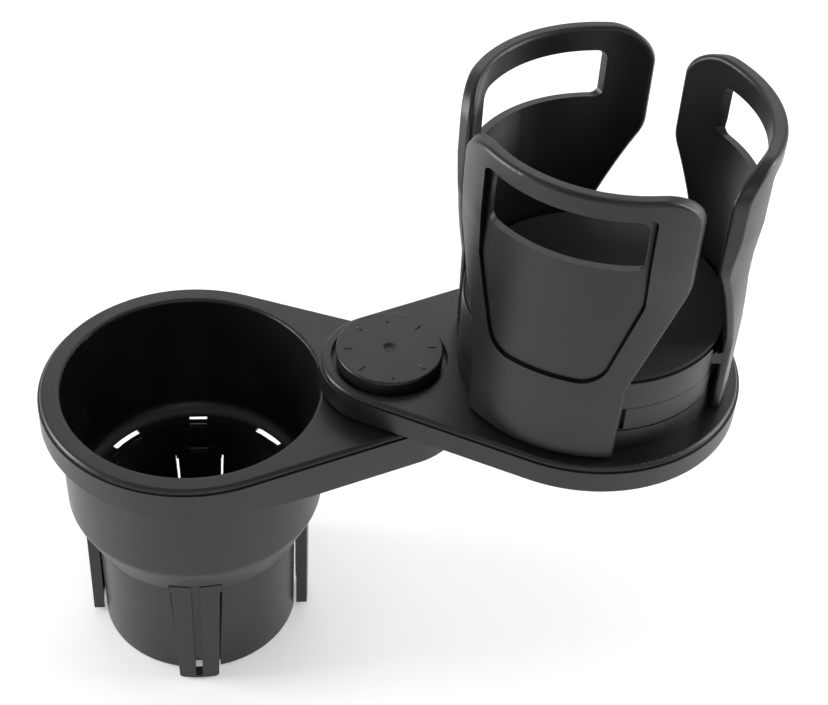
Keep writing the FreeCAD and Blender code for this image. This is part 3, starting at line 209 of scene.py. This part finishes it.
def make_edge_group():
    """Mask that is one along worn outer edges and nought on open faces: it lowers their roughness and
    lays a painted highlight colour on them.
    """
    group, given, made = new_group("polished_and_highlit_edges", [("Contrast", 3.0), ("Breakup", 0.35)], ["Mask"])
    bevel = group.nodes.new("ShaderNodeBevel")
    bevel.samples = 6
    bevel.inputs["Radius"].default_value = EDGE_REACH
    geometry = group.nodes.new("ShaderNodeNewGeometry")
    dot = group.nodes.new("ShaderNodeVectorMath")
    dot.operation = "DOT_PRODUCT"
    group.links.new(bevel.outputs["Normal"], dot.inputs[0])
    group.links.new(geometry.outputs["Normal"], dot.inputs[1])
    away = add_math(group, "SUBTRACT", 1.0, dot.outputs["Value"])
    strong = add_math(group, "MULTIPLY", away, given.outputs["Contrast"], clamp=True)
    place = group.nodes.new("ShaderNodeTexCoord")
    noise = group.nodes.new("ShaderNodeTexNoise")
    noise.inputs["Scale"].default_value = EDGE_BREAKS
    noise.inputs["Detail"].default_value = 3.0
    group.links.new(place.outputs["Object"], noise.inputs["Vector"])
    broken = add_math(group, "MULTIPLY", noise.outputs["Fac"], given.outputs["Breakup"])
    kept = add_math(group, "SUBTRACT", strong, broken, clamp=True)
    group.links.new(kept, made.inputs["Mask"])
    return group


GRAIN = make_grain_group()
EDGE_POLISH_AND_HIGHLIGHT = make_edge_group()


def plastic(name, colour, highlight_edge_colour, roughness, grain_size, grain_depth):
    """Moulded plastic with tooling grain, uneven sheen and edges polished by handling, with a painted
    highlight: a lighter colour laid along the edges.
    """
    material = bpy.data.materials.new(name)
    material.use_nodes = True
    tree = material.node_tree
    shader = tree.nodes["Principled BSDF"]
    shader.inputs["IOR"].default_value = PLASTIC_IOR
    grain = tree.nodes.new("ShaderNodeGroup")
    grain.node_tree = GRAIN
    grain.inputs["Size"].default_value = grain_size
    grain.inputs["Patch Size"].default_value = SHEEN_PATCH
    edges = tree.nodes.new("ShaderNodeGroup")
    edges.node_tree = EDGE_POLISH_AND_HIGHLIGHT
    # painted highlight: the edge mask mixes the lighter edge colour into the base colour along the edges
    tint = tree.nodes.new("ShaderNodeMix")
    tint.data_type = "RGBA"
    tint.inputs[6].default_value = (*colour, 1)
    tint.inputs[7].default_value = (*highlight_edge_colour, 1)
    tree.links.new(edges.outputs["Mask"], tint.inputs["Factor"])
    tree.links.new(tint.outputs[2], shader.inputs["Base Color"])
    patch = add_math(tree, "MULTIPLY", grain.outputs["Patches"], SHEEN_CHANGE)
    sheen = add_math(tree, "ADD", patch, roughness - SHEEN_CHANGE / 2)
    polish = add_math(tree, "MULTIPLY", edges.outputs["Mask"], EDGE_POLISH)
    rough = add_math(tree, "SUBTRACT", sheen, polish, clamp=True)
    tree.links.new(rough, shader.inputs["Roughness"])
    bump = tree.nodes.new("ShaderNodeBump")
    bump.inputs["Strength"].default_value = 1.0
    bump.inputs["Distance"].default_value = grain_depth
    tree.links.new(grain.outputs["Height"], bump.inputs["Height"])
    tree.links.new(bump.outputs["Normal"], shader.inputs["Normal"])
    return material


def dress(node, material, edge_width):
    """Give a CAD node its finish, smooth shading and small moulded edge radii."""
    piece = nodes[node]
    piece.data.materials.clear()
    piece.data.materials.append(material)
    weld = piece.modifiers.new("weld", "WELD")
    weld.merge_threshold = WELD_GAP
    bevel = piece.modifiers.new("edge_radius", "BEVEL")
    bevel.width = edge_width
    bevel.segments = 2
    bevel.limit_method = "ANGLE"
    bevel.angle_limit = SHARP_ANGLE
    even = piece.modifiers.new("even_normals", "WEIGHTED_NORMAL")
    even.weight = FLAT_WEIGHT
    even.keep_sharp = True
    for face in piece.data.polygons:
        face.use_smooth = True


BODY_BLACK = plastic("moulded_black", BODY_COLOUR, BODY_EDGE_HIGHLIGHT, BODY_ROUGHNESS, BODY_GRAIN, GRAIN_DEPTH)
for node in MOULDED:
    dress(node, BODY_BLACK, MOULDED_RADIUS)


# ---------------------------------------------------------------- turning knob
# The knob is moulded in a slightly greyer plastic, with a smooth grip wall and raised pointer ticks.
# It is gripped often, so its edge is the most polished on the object, and its edges carry a painted
# highlight in a lighter colour.

KNOB_COLOUR = (0.0075, 0.0075, 0.0078)
# painted highlight: the lighter colour that the edge mask lays along the knob's edges
KNOB_EDGE_HIGHLIGHT = (0.022, 0.022, 0.023)
KNOB_ROUGHNESS = 0.38
KNOB_GRAIN = 0.0004
KNOB_RADIUS = 0.00015

KNOB_BLACK = plastic("knob_black", KNOB_COLOUR, KNOB_EDGE_HIGHLIGHT, KNOB_ROUGHNESS, KNOB_GRAIN, GRAIN_DEPTH)
dress("knob", KNOB_BLACK, KNOB_RADIUS)


# ---------------------------------------------------------------- metal and washer
# The M8 clamp bolt, bushes and screws are zinc plated steel, and the insert is turned brass.
# A natural nylon washer lies between the deck and the arm.

ZINC_COLOUR = (0.56, 0.56, 0.57)
BRASS_COLOUR = (0.74, 0.55, 0.25)
SCREW_COLOUR = (0.22, 0.22, 0.23)
NYLON_COLOUR = (0.60, 0.59, 0.55)
# painted highlight: the lighter colour that the edge mask lays along the washer's edges
NYLON_EDGE_HIGHLIGHT = (0.72, 0.71, 0.68)
ZINC_ROUGHNESS = 0.34
BRASS_ROUGHNESS = 0.30
SCREW_ROUGHNESS = 0.38
NYLON_ROUGHNESS = 0.45
NYLON_GRAIN = 0.0005
TURNING_MARKS = 0.0003
PLATING_PATCH = 0.004
PLATING_CHANGE = 0.25
PLATING_BASE = 0.12
PLATING_DULL = 0.72
METAL_RADIUS = 0.00015
SMALL_RADIUS = 0.0001


def plated(name, colour, roughness):
    """Plated metal with fine turning marks and a patchy sheen."""
    material = bpy.data.materials.new(name)
    material.use_nodes = True
    tree = material.node_tree
    shader = tree.nodes["Principled BSDF"]
    shader.inputs["Metallic"].default_value = 1.0
    grain = tree.nodes.new("ShaderNodeGroup")
    grain.node_tree = GRAIN
    grain.inputs["Size"].default_value = TURNING_MARKS
    grain.inputs["Patch Size"].default_value = PLATING_PATCH
    tint = tree.nodes.new("ShaderNodeMix")
    tint.data_type = "RGBA"
    tint.inputs[6].default_value = (*colour, 1)
    tint.inputs[7].default_value = (*[part * PLATING_DULL for part in colour], 1)
    tree.links.new(grain.outputs["Patches"], tint.inputs["Factor"])
    tree.links.new(tint.outputs[2], shader.inputs["Base Color"])
    patch = add_math(tree, "MULTIPLY", grain.outputs["Patches"], PLATING_CHANGE)
    rough = add_math(tree, "ADD", patch, roughness - PLATING_BASE)
    tree.links.new(rough, shader.inputs["Roughness"])
    bump = tree.nodes.new("ShaderNodeBump")
    bump.inputs["Distance"].default_value = GRAIN_DEPTH
    tree.links.new(grain.outputs["Height"], bump.inputs["Height"])
    tree.links.new(bump.outputs["Normal"], shader.inputs["Normal"])
    return material


ZINC = plated("steel", ZINC_COLOUR, ZINC_ROUGHNESS)
BRASS = plated("brass", BRASS_COLOUR, BRASS_ROUGHNESS)
DARK_ZINC = plated("screw_steel", SCREW_COLOUR, SCREW_ROUGHNESS)
NYLON = plastic("washer", NYLON_COLOUR, NYLON_EDGE_HIGHLIGHT, NYLON_ROUGHNESS, NYLON_GRAIN, GRAIN_DEPTH)
for node in ("clamp_bolt", "base_bush", "arm_bush"):
    dress(node, ZINC, METAL_RADIUS)
dress("knob_insert", BRASS, METAL_RADIUS)
dress("friction_washer", NYLON, SMALL_RADIUS)
for node in ("pedestal_screws", "cap_screws"):
    dress(node, DARK_ZINC, SMALL_RADIUS)


# ---------------------------------------------------------------- foam pad
# A die-cut disc of pebbled black foam is stuck on the pedestal. It crowns a little in the middle,
# its cut edge is soft, and its skin has a coarse leather-like pebble.

pad_low, pad_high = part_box("foam_pad")
pad_centre = (pad_low + pad_high) / 2
pad_radius = (pad_high.x - pad_low.x) / 2
pad_thickness = pad_high.z - pad_low.z
PAD_RINGS = 13
PAD_RIM = 0.0006
PAD_EDGE = 0.0003
PAD_CROWN = 0.00035
PAD_CROWN_SHARE = 0.8
PAD_PEBBLE = 0.00010
PEBBLE_SIZE = 0.0011
FOAM_COLOUR = (0.010, 0.010, 0.0105)
# painted highlight: the lighter colour that the edge mask lays along the foam's edges
FOAM_EDGE_HIGHLIGHT = (0.02, 0.02, 0.02)
FOAM_ROUGHNESS = 0.85
FOAM_GRAIN = 0.0009
FOAM_GRAIN_DEPTH = 0.00016


def select_faces(obj, test):
    """In edit mode, select only the faces whose centre and normal pass a test."""
    bpy.ops.mesh.select_mode(type="FACE")
    bpy.ops.mesh.select_all(action="DESELECT")
    mesh = bmesh.from_edit_mesh(obj.data)
    for face in mesh.faces:
        face.select_set(test(face.calc_center_median(), face.normal))
    bmesh.update_edit_mesh(obj.data)


def settle(obj):
    """Move the object's place into its mesh and leave the object at the origin."""
    bpy.ops.object.mode_set(mode="OBJECT")
    bpy.ops.object.select_all(action="DESELECT")
    obj.select_set(True)
    bpy.context.view_layer.objects.active = obj
    bpy.ops.object.transform_apply(location=True, rotation=True, scale=True)


bpy.ops.object.select_all(action="DESELECT")
bpy.ops.mesh.primitive_cylinder_add(
    vertices=128, radius=pad_radius, depth=pad_thickness - PAD_CROWN,
    location=pad_centre - Vector((0, 0, PAD_CROWN / 2)))
foam = bpy.context.active_object
foam.name = "foam_disc"
bpy.ops.object.mode_set(mode="EDIT")
select_faces(foam, lambda centre, normal: normal.z > 0.9)
for ring in range(PAD_RINGS):
    bpy.ops.mesh.inset(thickness=pad_radius / (PAD_RINGS + 1) if ring else PAD_RIM)
bpy.ops.mesh.poke()
settle(foam)
cut_edge = foam.modifiers.new("cut_edge", "BEVEL")
cut_edge.width = PAD_EDGE
cut_edge.segments = 2
cut_edge.angle_limit = math.radians(60)
bpy.ops.object.modifier_apply(modifier="cut_edge")
finer = foam.modifiers.new("finer", "SUBSURF")
finer.subdivision_type = "SIMPLE"
finer.levels = finer.render_levels = 2
bpy.ops.object.modifier_apply(modifier="finer")
for vertex in foam.data.vertices:
    out = (Vector(vertex.co.xy) - Vector(pad_centre.xy)).length / pad_radius
    if vertex.co.z > pad_centre.z:
        vertex.co.z += PAD_CROWN * PAD_CROWN_SHARE * (1 - out ** 4)
pebbles = bpy.data.textures.new("foam_pebbles", "CLOUDS")
pebbles.noise_scale = PEBBLE_SIZE
pebbles.noise_depth = 1
skin = foam.modifiers.new("pebbled_skin", "DISPLACE")
skin.texture = pebbles
skin.texture_coords = "LOCAL"
skin.strength = PAD_PEBBLE
skin.mid_level = 0.8
bpy.ops.object.modifier_apply(modifier="pebbled_skin")
bpy.ops.object.shade_smooth_by_angle(angle=math.radians(50))
FOAM = plastic("foam", FOAM_COLOUR, FOAM_EDGE_HIGHLIGHT, FOAM_ROUGHNESS, FOAM_GRAIN, FOAM_GRAIN_DEPTH)
foam.data.materials.append(FOAM)
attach(foam, "arm")
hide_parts("foam_pad")


# ---------------------------------------------------------------- cover screws
# Small pan head screws hold the hub cover and the arm cover from below. Each has a dark zinc
# head with a cross recess that was punched cold, and one head is modelled and copied.

HEAD_HEIGHT = 0.0010
TIP_LENGTH = 0.001
TIP_SHARE = 0.25
SHANK_INSET = 0.56
FACE_INSET = 0.3
FACE_RISE = 0.00018
RECESS_DEPTH = 0.0007
RECESS_OUT = 0.0002
BLADE_LENGTH = 1.1
BLADE_WIDTH = 0.24
HEAD_EDGE = 0.00008
DOUBLES_GAP = 0.000001


def islands(node):
    """Boxes of the separate solids of one CAD node, as (low corner, high corner), in order of X and Y."""
    mesh = bmesh.new()
    mesh.from_mesh(nodes[node].data)
    bmesh.ops.remove_doubles(mesh, verts=mesh.verts, dist=DOUBLES_GAP)
    left = set(mesh.verts)
    found = []
    while left:
        group = set()
        waiting = [left.pop()]
        while waiting:
            vertex = waiting.pop()
            group.add(vertex)
            for link in vertex.link_edges:
                other = link.other_vert(vertex)
                if other in left:
                    left.remove(other)
                    waiting.append(other)
        spots = [vertex.co for vertex in group]
        found.append((
            Vector([min(spot[axis] for spot in spots) for axis in range(3)]),
            Vector([max(spot[axis] for spot in spots) for axis in range(3)]),
        ))
    mesh.free()
    return sorted(found, key=lambda box: (round(box[0].x, 5), round(box[0].y, 5)))


def pan_head_screw(radius, length):
    """One pan head screw on the Z axis, with the face of its head down at nought."""
    bpy.ops.object.select_all(action="DESELECT")
    bpy.ops.mesh.primitive_cylinder_add(
        vertices=32, radius=radius, depth=HEAD_HEIGHT, location=(0, 0, HEAD_HEIGHT / 2))
    screw = bpy.context.active_object
    bpy.ops.object.mode_set(mode="EDIT")
    select_faces(screw, lambda centre, normal: normal.z > 0.9)
    bpy.ops.mesh.inset(thickness=radius * SHANK_INSET)
    for rise in (length - HEAD_HEIGHT - TIP_LENGTH, TIP_LENGTH):
        bpy.ops.mesh.extrude_region_move(TRANSFORM_OT_translate={"value": (0, 0, rise)})
    bpy.ops.transform.resize(value=(TIP_SHARE, TIP_SHARE, 1))
    select_faces(screw, lambda centre, normal: normal.z < -0.9)
    bpy.ops.mesh.inset(thickness=radius * FACE_INSET)
    bpy.ops.transform.translate(value=(0, 0, -FACE_RISE))
    bpy.ops.object.mode_set(mode="OBJECT")
    for turn_angle in (0, 90):
        punch_recess(screw, radius, turn_angle)
    settle(screw)
    edges = screw.modifiers.new("soft_edges", "BEVEL")
    edges.width = HEAD_EDGE
    edges.segments = 1
    bpy.ops.object.modifier_apply(modifier="soft_edges")
    bpy.ops.object.shade_smooth_by_angle(angle=SHARP_ANGLE)
    screw.data.materials.append(DARK_ZINC)
    return screw


def punch_recess(screw, radius, turn_angle):
    """Cut one arm of the cross recess into the head's face."""
    bpy.ops.mesh.primitive_cube_add(size=1, location=(0, 0, RECESS_DEPTH / 2 - RECESS_OUT))
    blade = bpy.context.active_object
    blade.scale = (radius * BLADE_LENGTH, radius * BLADE_WIDTH, RECESS_DEPTH)
    blade.rotation_euler.z = math.radians(turn_angle)
    bpy.context.view_layer.update()
    cut = screw.modifiers.new("recess", "BOOLEAN")
    cut.object = blade
    cut.solver = "EXACT"
    bpy.context.view_layer.objects.active = screw
    bpy.ops.object.modifier_apply(modifier="recess")
    bpy.data.objects.remove(blade)


first_low, first_high = islands("hub_screws")[0]
pattern = pan_head_screw((first_high.x - first_low.x) / 2, first_high.z - first_low.z)
for node, body in (("hub_screws", "base"), ("arm_screws", "arm")):
    for number, (low, high) in enumerate(islands(node)):
        screw = pattern.copy()
        screw.data = pattern.data.copy()
        screw.name = "%s_%d" % (node[:-1], number + 1)
        spot = ((low.x + high.x) / 2, (low.y + high.y) / 2, low.z)
        screw.data.transform(Matrix.Translation(spot))
        bpy.context.scene.collection.objects.link(screw)
        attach(screw, body)
        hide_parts(node)
bpy.data.objects.remove(pattern)
